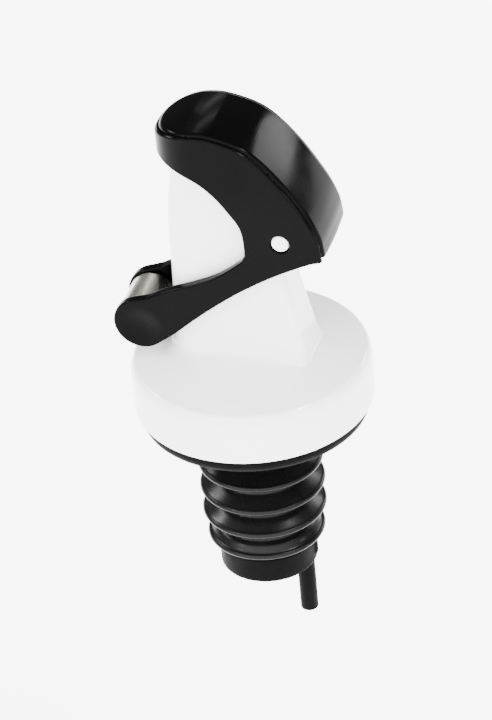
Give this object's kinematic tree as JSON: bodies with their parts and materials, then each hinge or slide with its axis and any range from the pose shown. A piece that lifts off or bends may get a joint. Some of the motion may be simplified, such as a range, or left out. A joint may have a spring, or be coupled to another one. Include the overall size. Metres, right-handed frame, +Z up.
{
  "type": "liquor pour spout",
  "caption": "Bottle pour spout with a finned rubber stopper, a vent tube and a weighted flap that swings open when the bottle is tipped.",
  "frame": {"origin": "on the stopper's axis, at the underside of the base plate, where the bottle's rim seats", "axes": "+Z up the stopper's axis out of the bottle, -Y the pouring side, +X across the spout"},
  "size_m": [0.044, 0.0455, 0.109],
  "materials": {
    "white_plastic": "gloss",
    "black_plastic": "gloss",
    "dark_plastic": "matte",
    "black_rubber": "semi-gloss",
    "clear_silicone": "satin",
    "steel": "brushed"
  },
  "bodies": {
    "root": {"spout_housing": "white_plastic", "base_plate": "dark_plastic", "stem_tube": "dark_plastic", "stem_gasket": "clear_silicone", "stopper_sleeve": "black_rubber", "vent_tube": "dark_plastic", "pivot_pin": "white_plastic"},
    "lever": {"lever_frame": "black_plastic", "hood_cover": "black_plastic", "mouth_seal": "clear_silicone", "roller_axle": "steel"},
    "roller": {"weight_roller": "steel"}
  },
  "joints": [
    {"name": "lever_tilt", "type": "hinge", "parent": "root", "child": "lever", "pos_m": [0, 0.0096, 0.041], "axis": [-1, 0, 0], "range_deg": [0, 60]},
    {"name": "roller_spin", "type": "hinge", "parent": "lever", "child": "roller", "pos_m": [0, -0.0186, 0.0205], "axis": [1, 0, 0], "continuous": true}
  ]
}
